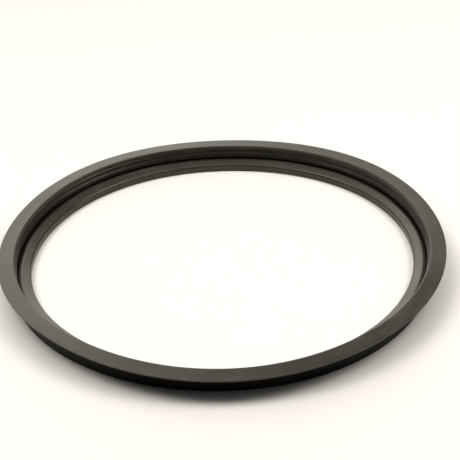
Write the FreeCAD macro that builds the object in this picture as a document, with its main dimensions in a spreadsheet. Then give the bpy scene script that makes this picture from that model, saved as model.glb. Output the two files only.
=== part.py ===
"""Lid gasket of a stovetop pressure cooker: one moulded rubber sealing ring.

The ring is a single moulding, so it is one body, turned about +Z from its section.
From the bottom up, the section has
  - a thick sealing lip that reaches inwards along the bottom,
  - a thin web that leans outwards as it rises, with a narrow slot at the root of the lip
    and two fine beads on its inner face,
  - a thin flange that reaches outwards along the top and overhangs the leaning outer wall.
The origin is at the centre of the bottom face. Lengths are in millimetres.
"""
import FreeCAD, Part
import os

import Sketcher

NODE = "sealing_ring"
OUT_DIR = "parts"
FULL_TURN = 360.0

# Driving dimensions. Radii are measured from the ring's axis, heights from its bottom face.
DIMENSIONS = [
    ("rim_radius", 120.0, "outer radius of the top flange"),
    ("ring_height", 13.0, "height of the whole section"),
    ("rim_edge", 1.6, "thickness of the flange at its rim"),
    ("flange_root", 2.4, "thickness of the flange where it meets the outer wall"),
    ("flange_bore", 111.7, "radius of the flange's inner edge"),
    ("shoulder_radius", 114.6, "outer radius of the wall where it meets the flange"),
    ("foot_radius", 113.0, "outer radius of the wall at the bottom face"),
    ("lip_radius", 102.7, "radius of the lip's tip"),
    ("lip_tip", 4.9, "thickness of the lip at its tip"),
    ("root_radius", 110.3, "radius where the lip meets the web"),
    ("root_height", 5.8, "height where the lip meets the web"),
    ("slot_half_width", 0.4, "half the width of the slot at the root of the lip"),
    ("slot_reach", 1.0, "how far the slot's end lies inside the web"),
    ("slot_fall", 0.6, "how far the slot falls over its reach"),
    ("bead_radius", 0.8, "radius of each bead on the inner face"),
    ("bead_proud", 0.3, "how far a bead stands proud of the inner face"),
    ("lower_bead", 7.7, "height of the lower bead"),
    ("upper_bead", 10.3, "height of the upper bead"),
    ("rim_round", 0.3, "rounding of the flange's two outer edges"),
    ("bore_round", 0.8, "rounding of the flange's inner edge"),
    ("shoulder_round", 1.0, "rounding of the corner under the flange"),
    ("tip_round", 1.4, "rounding of the upper edge of the lip's tip"),
    ("foot_round", 0.6, "rounding of the two edges of the bottom face"),
]


def write_sheet(doc):
    """Put the driving dimensions in a spreadsheet, one aliased cell each."""
    sheet = doc.addObject("Spreadsheet::Sheet", "dims")
    for row, (alias, value, meaning) in enumerate(DIMENSIONS, start=1):
        sheet.set(f"A{row}", meaning)
        sheet.set(f"B{row}", str(value))
        sheet.setAlias(f"B{row}", alias)
    doc.recompute()
    return sheet


def dim(alias):
    """Return the expression that reads one cell of the sheet."""
    return "dims." + alias


def inner_face(height):
    """Return the expression for the web's inner radius at a height, along its slope."""
    rise = f"({height} - dims.root_height) / (dims.ring_height - dims.root_height)"
    return f"dims.root_radius + (dims.flange_bore - dims.root_radius) * {rise}"


class Section:
    """A sketch on the body's XZ plane, where x is the radius and y is the height."""

    def __init__(self, body, name):
        self.sheet = body.Document.getObject("dims")
        self.sketch = body.newObject("Sketcher::SketchObject", name)
        plane = next(f for f in body.Origin.OriginFeatures if f.Role == "XZ_Plane")
        self.sketch.AttachmentSupport = (plane, "")
        self.sketch.MapMode = "FlatFace"

    def spot(self, radius, height):
        """Work out where two expressions put a point."""
        values = [float(self.sheet.evalExpression(text)) for text in (radius, height)]
        return FreeCAD.Vector(values[0], values[1], 0)

    def bind(self, kind, expression, *where):
        """Add one constraint whose size is an expression on the sheet."""
        size = float(self.sheet.evalExpression(expression))
        index = self.sketch.addConstraint(Sketcher.Constraint(kind, *where, size))
        self.sketch.setExpression(f"Constraints[{index}]", expression)

    def place(self, edge, vertex, radius, height):
        """Bind one point of an edge to expressions for its radius and height."""
        self.bind("DistanceX", radius, -1, 1, edge, vertex)
        self.bind("DistanceY", height, -1, 1, edge, vertex)

    def polygon(self, corners):
        """Draw a closed outline of straight lines through the corners."""
        spots = [self.spot(*corner) for corner in corners]
        following = spots[1:] + spots[:1]
        edges = [
            self.sketch.addGeometry(Part.LineSegment(start, end), False)
            for start, end in zip(spots, following)
        ]
        for edge, after, corner in zip(edges, edges[1:] + edges[:1], corners):
            self.sketch.addConstraint(Sketcher.Constraint("Coincident", edge, 2, after, 1))
            self.place(edge, 1, *corner)

    def circle(self, centre, radius):
        """Draw a circle about a centre, with a radius from the sheet."""
        size = float(self.sheet.evalExpression(radius))
        round_shape = Part.Circle(self.spot(*centre), FreeCAD.Vector(0, 0, 1), size)
        edge = self.sketch.addGeometry(round_shape, False)
        self.place(edge, 3, *centre)
        self.bind("Radius", radius, edge)


def turn(body, section, feature, name):
    """Revolve a section a full turn about +Z, adding or cutting as the feature does."""
    body.Document.recompute()
    turned = body.newObject("PartDesign::" + feature, name)
    turned.Profile = section.sketch
    turned.ReferenceAxis = (section.sketch, ["V_Axis"])
    turned.Angle = FULL_TURN
    body.Document.recompute()
    return turned


def blank(body):
    """Turn the plain section: lip, leaning web and overhanging flange."""
    section = Section(body, "blank_section")
    flange_foot = "dims.ring_height - dims.flange_root"
    section.polygon([
        (dim("lip_radius"), "0"),
        (dim("foot_radius"), "0"),
        (dim("shoulder_radius"), flange_foot),
        (dim("rim_radius"), "dims.ring_height - dims.rim_edge"),
        (dim("rim_radius"), dim("ring_height")),
        (dim("flange_bore"), dim("ring_height")),
        (dim("root_radius"), dim("root_height")),
        (dim("lip_radius"), dim("lip_tip")),
    ])
    return turn(body, section, "Revolution", "blank")


def cut_slot(body):
    """Cut the narrow slot that hinges the lip to the web."""
    section = Section(body, "slot_section")
    section.polygon([
        ("dims.root_radius - dims.slot_reach", "dims.root_height + dims.slot_fall - dims.slot_half_width"),
        ("dims.root_radius + dims.slot_reach", "dims.root_height - dims.slot_fall - dims.slot_half_width"),
        ("dims.root_radius + dims.slot_reach", "dims.root_height - dims.slot_fall + dims.slot_half_width"),
        ("dims.root_radius - dims.slot_reach", "dims.root_height + dims.slot_fall + dims.slot_half_width"),
    ])
    return turn(body, section, "Groove", "slot")


def add_beads(body):
    """Raise the two fine beads on the web's inner face."""
    for alias in ("lower_bead", "upper_bead"):
        section = Section(body, alias + "_section")
        buried = "dims.bead_radius - dims.bead_proud"
        section.circle((f"{inner_face(dim(alias))} + {buried}", dim(alias)), dim("bead_radius"))
        turn(body, section, "Revolution", alias)


def round_edges(body, rounding, rings):
    """Round the circular edges at the given radius and height by one of the sheet's sizes."""
    sheet = body.Document.getObject("dims")
    wanted = [[float(sheet.evalExpression(text)) for text in ring] for ring in rings]
    base = body.Tip
    names = []
    for index, edge in enumerate(base.Shape.Edges, start=1):
        if not isinstance(edge.Curve, Part.Circle):
            continue
        ring = (edge.Curve.Radius, edge.Curve.Center.z)
        if any(abs(ring[0] - r) < 1e-4 and abs(ring[1] - z) < 1e-4 for r, z in wanted):
            names.append(f"Edge{index}")
    if len(names) != len(rings):
        raise RuntimeError(f"{rounding}: found {len(names)} of {len(rings)} edges")
    fillet = body.newObject("PartDesign::Fillet", rounding + "ing")
    fillet.Base = (base, names)
    fillet.setExpression("Radius", dim(rounding))
    body.Document.recompute()


def build_ring(doc):
    """Build the sealing ring as one PartDesign body."""
    body = doc.addObject("PartDesign::Body", NODE)
    body.Label = NODE
    body.Placement = FreeCAD.Placement()
    blank(body)
    cut_slot(body)
    add_beads(body)
    rim_foot = "dims.ring_height - dims.rim_edge"
    shoulder = "dims.ring_height - dims.flange_root"
    for rounding, rings in (
        ("rim_round", [(dim("rim_radius"), dim("ring_height")), (dim("rim_radius"), rim_foot)]),
        ("bore_round", [(dim("flange_bore"), dim("ring_height"))]),
        ("shoulder_round", [(dim("shoulder_radius"), shoulder)]),
        ("tip_round", [(dim("lip_radius"), dim("lip_tip"))]),
        ("foot_round", [(dim("lip_radius"), "0"), (dim("foot_radius"), "0")]),
    ):
        round_edges(body, rounding, rings)
    return body


def check(doc, bodies):
    """Stop if any object failed to compute, or any body isn't one valid solid."""
    for item in doc.Objects:
        if "Invalid" in item.State or "Error" in item.State:
            raise RuntimeError(f"{item.Label}: {item.State}")
    for body in bodies:
        shape = body.Shape
        if shape.isNull() or not shape.isValid() or len(shape.Solids) != 1:
            raise RuntimeError(f"{body.Label}: not one valid solid")


def main():
    os.makedirs(OUT_DIR, exist_ok=True)
    doc = FreeCAD.newDocument("lid_gasket")
    write_sheet(doc)
    bodies = [build_ring(doc)]
    doc.recompute()
    check(doc, bodies)
    for body in bodies:
        body.Shape.exportStep(os.path.join(OUT_DIR, body.Label + ".step"))
        box = body.Shape.optimalBoundingBox()
        print(f"{body.Label}: {box.XLength:.2f} x {box.YLength:.2f} x {box.ZLength:.2f} mm,"
              f" {body.Shape.Volume / 1000:.2f} cm3")


main()
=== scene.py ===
"""The lid gasket of a stovetop pressure cooker, lying on a pale floor in soft studio light.

The gasket is one moulded rubber ring. Its visual mesh is swept round the ring's axis from a
rounded section and given the slack of soft rubber: it isn't quite round, and its flange leans
and lifts a little on the way round. Everything is in the CAD model's frame.
"""
import math

import bpy
import numpy as np
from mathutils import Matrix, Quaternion, Vector


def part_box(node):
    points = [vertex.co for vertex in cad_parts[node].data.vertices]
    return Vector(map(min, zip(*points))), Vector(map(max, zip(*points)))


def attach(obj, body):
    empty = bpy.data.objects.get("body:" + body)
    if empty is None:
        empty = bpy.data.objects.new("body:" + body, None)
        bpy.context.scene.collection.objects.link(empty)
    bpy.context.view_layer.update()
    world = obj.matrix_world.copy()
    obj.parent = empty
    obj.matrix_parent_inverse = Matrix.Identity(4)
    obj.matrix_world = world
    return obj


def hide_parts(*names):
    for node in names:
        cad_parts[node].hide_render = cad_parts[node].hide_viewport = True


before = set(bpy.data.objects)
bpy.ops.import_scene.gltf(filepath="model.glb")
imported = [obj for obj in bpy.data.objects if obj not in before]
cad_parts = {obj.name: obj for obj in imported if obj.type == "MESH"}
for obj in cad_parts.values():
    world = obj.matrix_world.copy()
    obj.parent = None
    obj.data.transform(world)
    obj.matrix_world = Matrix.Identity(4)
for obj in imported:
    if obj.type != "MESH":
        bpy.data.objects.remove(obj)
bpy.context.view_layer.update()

MM = 0.001
CAD_NODE = "sealing_ring"
BODY = "root"

low_corner, high_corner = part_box(CAD_NODE)
RIM_RADIUS = (high_corner.x - low_corner.x) / 2 / MM
RING_HEIGHT = (high_corner.z - low_corner.z) / MM

# The section's driving sizes, in millimetres: radii from the axis, heights from the bottom.
FLANGE_BORE = 111.7
RIM_EDGE = 1.6
RIM_LAND = 0.5
RIM_UNDERCUT = 0.9
SHOULDER = (114.6, RING_HEIGHT - 2.4)
FOOT_RADIUS = 113.0
LIP_RADIUS = 102.7
LIP_TIP = 4.2
ROOT_RADIUS = 110.3
ROOT_HEIGHT = 5.8
CROWN = (108.0, 5.75)
SLOT_END = ROOT_RADIUS + 1.0
SLOT_TOP = 5.6
SLOT_FLOOR = 4.7

# The two fine beads on the web's inner face: height, half-width and how far each stands proud.
BEADS = [(10.3, 0.8, 0.42), (7.7, 0.7, 0.42)]
BEAD_FOOT_ROUND = 0.35
BEAD_CREST_ROUND = 0.5

# How the mesh is divided: round the axis, round an arc, and along a straight.
AROUND = 720
ARC_STEP = math.radians(15)
STRAIGHT_STEP = 0.8
# How far the close points on a straight stand from the arcs at its ends.
SUPPORT = 0.12

# How much of the painted shade of the outer wall and the slot the web's inner face has.
WEB_PAINTED_SHADE = 0.35

# The slack of the rubber, in a few round numbers. Each wave is (how many times it repeats round
# the ring, its size in millimetres, and the direction of one crest in degrees from +X).
RING_WAVES = [(3, 0.4, 40), (4, 0.4, 35)]
FLANGE_WAVES = [(0, -0.4, 0), (1, 0.3, 55), (2, 0.7, -75), (3, 0.5, 25), (5, 0.5, -20)]
LIP_WAVES = [(1, 0.3, -10), (2, 0.5, 10)]
LIFT_WAVES = [(1, 0.1, 110)]
DROOP_WAVES = [(1, 0.6, -100), (2, 0.3, -75)]


def web_face(height):
    """Return the radius of the web's inner face at a height."""
    rise = (height - ROOT_HEIGHT) / (RING_HEIGHT - ROOT_HEIGHT)
    return ROOT_RADIUS + (FLANGE_BORE - ROOT_RADIUS) * rise


def bead_corners(height, half_width, proud):
    """Return the corners of one bead on the web's inner face, from its top down."""
    top, bottom = height + half_width, height - half_width
    return [
        (web_face(top), top, BEAD_FOOT_ROUND, 0.0),
        (web_face(height) - proud, height, BEAD_CREST_ROUND, 0.0),
        (web_face(bottom), bottom, BEAD_FOOT_ROUND, 0.0),
    ]


def section_corners():
    """Return the section's corners: radius, height, rounding and how much paler edge each one takes,
    partly wear and partly painted highlight.
    """
    corners = [
        (LIP_RADIUS, 0.0, 0.6, 0.3),
        (FOOT_RADIUS, 0.0, 0.4, 0.0),
        (*SHOULDER, 1.0, 0.0),
        (RIM_RADIUS - RIM_UNDERCUT, RING_HEIGHT - RIM_EDGE, 0.3, 0.0),
        (RIM_RADIUS, RING_HEIGHT - RIM_LAND, 0.1, 0.0),
        (RIM_RADIUS, RING_HEIGHT, 0.15, 0.2),
        (FLANGE_BORE, RING_HEIGHT, 0.8, 0.3),
    ]
    for bead in BEADS:
        corners += bead_corners(*bead)
    corners += [
        (110.4, 6.2, 0.25, 0.0),
        (SLOT_END, SLOT_TOP, 0.15, 0.0),
        (SLOT_END, SLOT_FLOOR, 0.15, 0.0),
        (109.6, 5.35, 0.8, 0.0),
        (*CROWN, 2.5, 0.0),
        (LIP_RADIUS, LIP_TIP, 1.4, 0.0),
    ]
    return corners


def rounded_outline(corners):
    """Return the closed outline through the corners, each rounded, with each point's share of paler edge,
    partly wear and partly painted highlight.
    """
    outline, wear_and_highlight = [], []
    count = len(corners)
    for index in range(count):
        before = np.array(corners[index - 1][:2])
        corner = np.array(corners[index][:2])
        after = np.array(corners[(index + 1) % count][:2])
        radius, corner_wear_and_highlight = corners[index][2:]
        into = (before - corner) / np.linalg.norm(before - corner)
        away = (after - corner) / np.linalg.norm(after - corner)
        half = math.acos(np.clip(into @ away, -1, 1)) / 2
        reach = radius / math.tan(half)
        middle = corner + (into + away) / np.linalg.norm(into + away) * radius / math.sin(half)
        start = corner + into * reach - middle
        sweep = math.pi - 2 * half
        turn = math.copysign(1, into[1] * away[0] - into[0] * away[1])
        steps = max(2, round(sweep / ARC_STEP))
        for step in range(steps + 1):
            angle = turn * sweep * step / steps
            cosine, sine = math.cos(angle), math.sin(angle)
            spoke = (start[0] * cosine - start[1] * sine, start[0] * sine + start[1] * cosine)
            outline.append(middle + spoke)
            wear_and_highlight.append(corner_wear_and_highlight)
    return outline, wear_and_highlight


def with_straights(outline, wear_and_highlight):
    """Add points along the long straights, with close ones where each straight meets an arc."""
    filled, filled_wear_and_highlight = [], []
    for index, start in enumerate(outline):
        filled.append(start)
        filled_wear_and_highlight.append(wear_and_highlight[index])
        end = outline[(index + 1) % len(outline)]
        length = np.linalg.norm(end - start)
        if length < 3 * SUPPORT:
            continue
        inner = length - 2 * SUPPORT
        cells = max(1, round(inner / STRAIGHT_STEP))
        for cell in range(cells + 1):
            filled.append(start + (end - start) * (SUPPORT + inner * cell / cells) / length)
            filled_wear_and_highlight.append(0.0)
    return np.array(filled), np.array(filled_wear_and_highlight)


def waves(angles, parts):
    """Return the sum of the waves at each angle round the ring."""
    return sum(size * np.cos(count * (angles - math.radians(crest))) for count, size, crest in parts)


def painted_shade(radius, height):
    """Return how much painted shade a face gets for lying in a recess, darker and duller, from 0 to 1."""
    inside = (height > ROOT_HEIGHT) & (height < RING_HEIGHT - 0.9) & (radius < web_face(height) + 0.2)
    outside = (height < RING_HEIGHT - RIM_LAND) & (radius > FOOT_RADIUS - 0.4)
    slot = (abs(height - ROOT_HEIGHT + 0.6) < 1.0) & (radius > ROOT_RADIUS - 0.8)
    return np.where(outside | slot, 1.0, np.where(inside, WEB_PAINTED_SHADE, 0.0))


def ring_mesh(name):
    """Sweep the section round the axis into one closed quad mesh, with the rubber's slack."""
    outline, wear_and_highlight = with_straights(*rounded_outline(section_corners()))
    angles = np.arange(AROUND)[:, None] * 2 * math.pi / AROUND
    height_share = outline[:, 1] / RING_HEIGHT
    lip_share = np.clip((ROOT_RADIUS - outline[:, 0]) / (ROOT_RADIUS - LIP_RADIUS), 0, 1)
    rim_share = np.clip((outline[:, 0] - FLANGE_BORE) / (RIM_RADIUS - FLANGE_BORE), 0, 1)
    radii = outline[:, 0] + waves(angles, RING_WAVES)
    radii = radii + waves(angles, FLANGE_WAVES) * height_share + waves(angles, LIP_WAVES) * lip_share
    lift = waves(angles, LIFT_WAVES) - waves(angles, DROOP_WAVES) * rim_share
    heights = outline[:, 1] + lift * height_share
    points = np.stack([radii * np.cos(angles), radii * np.sin(angles), heights], axis=-1) * MM
    per_section = len(outline)
    faces = []
    for turn in range(AROUND):
        here, there = turn * per_section, (turn + 1) % AROUND * per_section
        for spot in range(per_section):
            following = (spot + 1) % per_section
            faces.append((here + spot, there + spot, there + following, here + following))
    mesh = bpy.data.meshes.new(name)
    mesh.from_pydata(points.reshape(-1, 3).tolist(), [], faces)
    mesh.shade_smooth()
    # Stored per point: the edge wear with its painted highlight, and the painted shade of the recesses.
    for label, values in (("edge_wear_and_highlight", wear_and_highlight), ("painted_shade", painted_shade(*outline.T))):
        attribute = mesh.attributes.new(label, "FLOAT", "POINT")
        attribute.data.foreach_set("value", np.tile(values, AROUND))
    mesh.update()
    return mesh


class Tree:
    """Short calls that add and link the nodes of one tree."""

    def __init__(self, tree):
        self.nodes, self.links = tree.nodes, tree.links

    def add(self, kind, settings=(), **inputs):
        """Add a node, set its properties, and set or link its inputs by name or number."""
        node = self.nodes.new("ShaderNode" + kind)
        for name, value in dict(settings).items():
            setattr(node, name, value)
        for name, value in inputs.items():
            self.feed(node.inputs[name.replace("_", " ")], value)
        return node

    def feed(self, socket, value):
        """Link an output to a socket, or set the socket's own value."""
        if isinstance(value, bpy.types.NodeSocket):
            self.links.new(value, socket)
        else:
            socket.default_value = value

    def maths(self, operation, *values):
        """Return the output of one Math node."""
        node = self.nodes.new("ShaderNodeMath")
        node.operation = operation
        for socket, value in zip(node.inputs, values):
            self.feed(socket, value)
        return node.outputs[0]

    def ramp(self, value, low, high, to_low=0.0, to_high=1.0):
        """Return a value eased from one range to another and clamped."""
        node = self.nodes.new("ShaderNodeMapRange")
        node.interpolation_type = "SMOOTHSTEP"
        for socket, setting in zip(node.inputs, (value, low, high, to_low, to_high)):
            self.feed(socket, setting)
        return node.outputs[0]

    def mix(self, factor, first, second):
        """Return the mix of two colours."""
        node = self.nodes.new("ShaderNodeMix")
        node.data_type = "RGBA"
        self.feed(node.inputs["Factor"], factor)
        self.feed(node.inputs["A"], first)
        self.feed(node.inputs["B"], second)
        return node.outputs["Result"]

    def noise(self, vector, scale, detail=2.0, roughness=0.5):
        """Return the value of one noise."""
        node = self.add("TexNoise", Vector=vector, Scale=scale, Detail=detail, Roughness=roughness)
        return node.outputs["Fac"]


# The rubber's colours, among them a painted highlight colour for the edges and a painted shade colour for
# the recesses.
RUBBER = (0.0165, 0.0138, 0.011, 1)
BLOOM = (0.031, 0.0262, 0.0208, 1)
SCUFF = (0.085, 0.074, 0.062, 1)
HAIRLINE = (0.12, 0.107, 0.092, 1)
# Paler edge colour: partly rubbed wear, partly a painted highlight on the rounded corners.
WORN_EDGE_AND_HIGHLIGHT = (0.075, 0.067, 0.058, 1)
DUST = (0.3, 0.29, 0.27, 1)
# Painted shade: near black for the outer wall under the flange, the slot and the web's inner face.
PAINTED_SHADE_COLOUR = (0.004, 0.0035, 0.003, 1)
SHEEN = (1.0, 0.95, 0.86, 1)


def rubber_material():
    """Black moulded rubber: turned mould lines, bloom, scuffs and dust, paler edges that are partly wear
    and partly painted highlight, and painted shade in the recesses.
    """
    material = bpy.data.materials.new("black_rubber")
    material.use_nodes = True
    tree = Tree(material.node_tree)
    shader = tree.nodes["Principled BSDF"]

    place = tree.add("TexCoord").outputs["Object"]
    split = tree.add("SeparateXYZ", Vector=place)
    flat = tree.add("CombineXYZ", X=split.outputs["X"], Y=split.outputs["Y"]).outputs[0]
    radius = tree.add("VectorMath", {"operation": "LENGTH"}, Vector=flat).outputs["Value"]
    heading = tree.add("VectorMath", {"operation": "NORMALIZE"}, Vector=flat).outputs["Vector"]
    # One coordinate that runs across the section, over its level and its upright faces alike.
    across = tree.maths("MULTIPLY_ADD", split.outputs["Z"], 0.7, radius)

    def along_ring(turns, per_metre):
        """Return a coordinate in which a noise is drawn out along the ring."""
        long_way = tree.add("VectorMath", {"operation": "SCALE"}, Vector=heading, Scale=turns).outputs[0]
        short_way = tree.add("CombineXYZ", Z=tree.maths("MULTIPLY", across, per_metre)).outputs[0]
        both = tree.nodes.new("ShaderNodeVectorMath")
        tree.feed(both.inputs[0], long_way)
        tree.feed(both.inputs[1], short_way)
        return both.outputs[0]

    patches = tree.noise(place, 38.0, 3.0, 0.55)
    bands = tree.noise(along_ring(5.0, 260.0), 1.0, 3.0, 0.6)
    streaks = tree.noise(along_ring(16.0, 1300.0), 1.0, 3.0, 0.6)
    scratches = tree.noise(along_ring(30.0, 5200.0), 1.0, 1.0, 0.5)
    mould_lines = tree.noise(along_ring(1.5, 4200.0), 1.0, 2.0, 0.6)
    grain = tree.noise(place, 3600.0, 2.0, 0.6)
    wear_and_highlight = tree.add("Attribute", {"attribute_name": "edge_wear_and_highlight"}).outputs["Fac"]
    # The share of painted shade for each face, read from the mesh.
    painted_shade_share = tree.add("Attribute", {"attribute_name": "painted_shade"}).outputs["Fac"]

    bloom = tree.maths("MULTIPLY_ADD", tree.ramp(patches, 0.38, 0.68), 0.5,
                       tree.maths("MULTIPLY", tree.ramp(bands, 0.4, 0.7), 0.5))
    scuffs = tree.maths("MULTIPLY", tree.ramp(streaks, 0.54, 0.72), tree.ramp(patches, 0.42, 0.6))
    hairlines = tree.maths("MULTIPLY", tree.ramp(scratches, 0.66, 0.74), tree.ramp(bands, 0.45, 0.6))
    # Paler edges: partly wear, partly a painted highlight along the rounded corners.
    worn_and_highlit = tree.maths("MULTIPLY", wear_and_highlight, tree.ramp(streaks, 0.35, 0.65, 0.25, 1.0))

    colour = tree.mix(bloom, RUBBER, BLOOM)
    colour = tree.mix(tree.maths("MULTIPLY", scuffs, 0.75), colour, SCUFF)
    colour = tree.mix(tree.maths("MULTIPLY", hairlines, 0.6), colour, HAIRLINE)
    # Wear and painted highlight: the rounded corners are lightened.
    colour = tree.mix(tree.maths("MULTIPLY", worn_and_highlit, 0.45), colour, WORN_EDGE_AND_HIGHLIGHT)
    dust_cells = tree.add("TexVoronoi", {"feature": "F1"}, Vector=place, Scale=420.0)
    speck = tree.ramp(dust_cells.outputs["Distance"], 0.1, 0.04)
    chosen = tree.ramp(tree.add("SeparateColor", Color=dust_cells.outputs["Color"]).outputs[0], 0.9, 0.96)
    dust = tree.maths("MULTIPLY", speck, chosen)
    colour = tree.mix(tree.maths("MULTIPLY", dust, 0.55), colour, DUST)
    # Painted shade: the recessed faces are darkened towards near black.
    colour = tree.mix(tree.maths("MULTIPLY", painted_shade_share, 0.85), colour, PAINTED_SHADE_COLOUR)
    tree.feed(shader.inputs["Base Color"], colour)
    # Painted shade: the recessed faces also reflect less.
    tree.feed(shader.inputs["Specular IOR Level"], tree.maths("MULTIPLY_ADD", painted_shade_share, -0.4, 0.5))
    tree.feed(shader.inputs["Specular Tint"], SHEEN)

    roughness = tree.ramp(bloom, 0.0, 1.0, 0.31, 0.42)
    roughness = tree.maths("ADD", roughness, tree.ramp(grain, 0.3, 0.7, -0.03, 0.03))
    roughness = tree.maths("MULTIPLY_ADD", scuffs, 0.12, roughness)
    tree.feed(shader.inputs["Roughness"], tree.maths("MULTIPLY_ADD", worn_and_highlit, 0.08, roughness))

    height = tree.maths("MULTIPLY", grain, 0.010)
    height = tree.maths("MULTIPLY_ADD", mould_lines, 0.012, height)
    height = tree.maths("MULTIPLY_ADD", hairlines, -0.012, height)
    height = tree.maths("MULTIPLY_ADD", bands, 0.05, height)
    height = tree.maths("MULTIPLY_ADD", patches, 0.12, height)
    bump = tree.add("Bump", Height=height, Strength=1.0, Distance=MM)
    tree.feed(shader.inputs["Normal"], bump.outputs["Normal"])
    return material


FLOOR_COLOURS = ((0.865, 0.85, 0.846, 1), (0.885, 0.87, 0.866, 1))
FLOOR_HALF = 8.0


def floor_material():
    """Pale matt floor with a breath of unevenness."""
    material = bpy.data.materials.new("pale_floor")
    material.use_nodes = True
    tree = Tree(material.node_tree)
    shader = tree.nodes["Principled BSDF"]
    place = tree.add("TexCoord").outputs["Object"]
    cloud = tree.noise(place, 3.0, 2.0)
    tree.feed(shader.inputs["Base Color"], tree.mix(cloud, *FLOOR_COLOURS))
    shader.inputs["Roughness"].default_value = 0.7
    shader.inputs["Specular IOR Level"].default_value = 0.15
    return material


def make_ring():
    """Make the visible ring, which stands for the CAD ring."""
    ring = bpy.data.objects.new("rubber_gasket", ring_mesh("rubber_gasket"))
    bpy.context.scene.collection.objects.link(ring)
    ring.data.materials.append(rubber_material())
    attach(ring, BODY)
    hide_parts(CAD_NODE)


def make_floor():
    """Lay the floor under the ring."""
    corners = [(x * FLOOR_HALF, y * FLOOR_HALF, 0) for x, y in ((-1, -1), (1, -1), (1, 1), (-1, 1))]
    mesh = bpy.data.meshes.new("floor")
    mesh.from_pydata(corners, [], [(0, 1, 2, 3)])
    floor = bpy.data.objects.new("floor", mesh)
    bpy.context.scene.collection.objects.link(floor)
    floor.data.materials.append(floor_material())


# The surround: a dim base, and soft glows that each have a bearing from straight back (degrees
# to the right), an elevation, a full and a fading half-width, and a strength. The last one
# lights the underside from straight below, and the floor hides it from above.
SURROUND_COLOUR = (1.0, 0.97, 0.9, 1)
SURROUND_BASE = 0.012
GLOWS = [
    (-14, 28, 2, 20, 1.75),
    (5, 14, 0, 22, 2.4),
    (-14, 46, 0, 26, 0.8),
    (-45, 30, 0, 38, 0.75),
    (135, 55, 0, 36, 0.25),
    (0, -90, 30, 88, 0.8),
]


def make_surround():
    """Light the set from a plain surround that is dim in front and glows behind and below."""
    world = bpy.data.worlds.new("studio")
    bpy.context.scene.world = world
    world.use_nodes = True
    tree = Tree(world.node_tree)
    looking = tree.add("TexCoord").outputs["Generated"]
    strength = SURROUND_BASE
    for bearing, elevation, full, fading, glow in GLOWS:
        bearing, elevation = math.radians(bearing), math.radians(elevation)
        aim = (math.sin(bearing) * math.cos(elevation), math.cos(bearing) * math.cos(elevation),
               math.sin(elevation))
        towards = tree.nodes.new("ShaderNodeVectorMath")
        towards.operation = "DOT_PRODUCT"
        tree.feed(towards.inputs[0], looking)
        tree.feed(towards.inputs[1], aim)
        edge, core = math.cos(math.radians(fading)), math.cos(math.radians(full))
        strength = tree.maths("ADD", tree.ramp(towards.outputs["Value"], edge, core, 0.0, glow), strength)
    tree.feed(tree.nodes["Background"].inputs["Color"], SURROUND_COLOUR)
    tree.feed(tree.nodes["Background"].inputs["Strength"], strength)


# The softboxes over and beside the ring: name, place and size in metres, watts and colour.
SOFTBOXES = [
    ("overhead_softbox", (0.0, 0.09, 1.5), (2.8, 2.0), 5.5, (1.0, 0.98, 0.94)),
    ("strip_softbox", (0.0, 0.09, 1.4), (2.6, 0.62), 8.5, (1.0, 0.97, 0.91)),
    ("right_softbox", (1.0, 0.06, 1.11), (0.62, 0.9), 9.5, (1.0, 0.955, 0.87)),
    ("left_softbox", (-0.84, 0.06, 1.24), (0.62, 0.9), 8.6, (1.0, 0.955, 0.87)),
]


def make_softbox(name, place, size, energy, colour):
    """Hang one soft rectangular lamp that faces the ring."""
    lamp = bpy.data.lights.new(name, "AREA")
    lamp.shape = "RECTANGLE"
    lamp.size, lamp.size_y = size
    lamp.energy = energy
    lamp.color = colour
    holder = bpy.data.objects.new(name, lamp)
    holder.location = place
    holder.rotation_mode = "QUATERNION"
    holder.rotation_quaternion = (-Vector(place)).to_track_quat("-Z", "Y")
    bpy.context.scene.collection.objects.link(holder)


# The camera: its lens in millimetres and how it stands about the middle of the ring's top face.
CAMERA_DISTANCE = 540 * MM
CAMERA_ELEVATION = math.radians(31)
CAMERA_PAN = math.radians(0.5)
CAMERA_TILT = math.radians(0.35)
CAMERA_ROLL = math.radians(2.4)
CAMERA_LENS = 78.5


def make_camera():
    """Stand the camera in front of the ring, looking down at it."""
    camera = bpy.data.cameras.new("camera")
    camera.sensor_width = 36
    camera.lens = CAMERA_LENS
    camera.clip_start = 0.01
    holder = bpy.data.objects.new("camera", camera)
    bpy.context.scene.collection.objects.link(holder)
    back = Vector((0, -math.cos(CAMERA_ELEVATION), math.sin(CAMERA_ELEVATION)))
    holder.location = Vector((0, 0, RING_HEIGHT * MM)) + back * CAMERA_DISTANCE
    aim = (-back).to_track_quat("-Z", "Y")
    aim @= Quaternion((0, 1, 0), -CAMERA_PAN)
    aim @= Quaternion((1, 0, 0), CAMERA_TILT)
    aim @= Quaternion((0, 0, 1), -CAMERA_ROLL)
    holder.rotation_mode = "QUATERNION"
    holder.rotation_quaternion = aim
    bpy.context.scene.camera = holder


make_camera()
make_surround()
for softbox in SOFTBOXES:
    make_softbox(*softbox)
make_floor()
make_ring()
bpy.context.scene.view_settings.view_transform = "Standard"
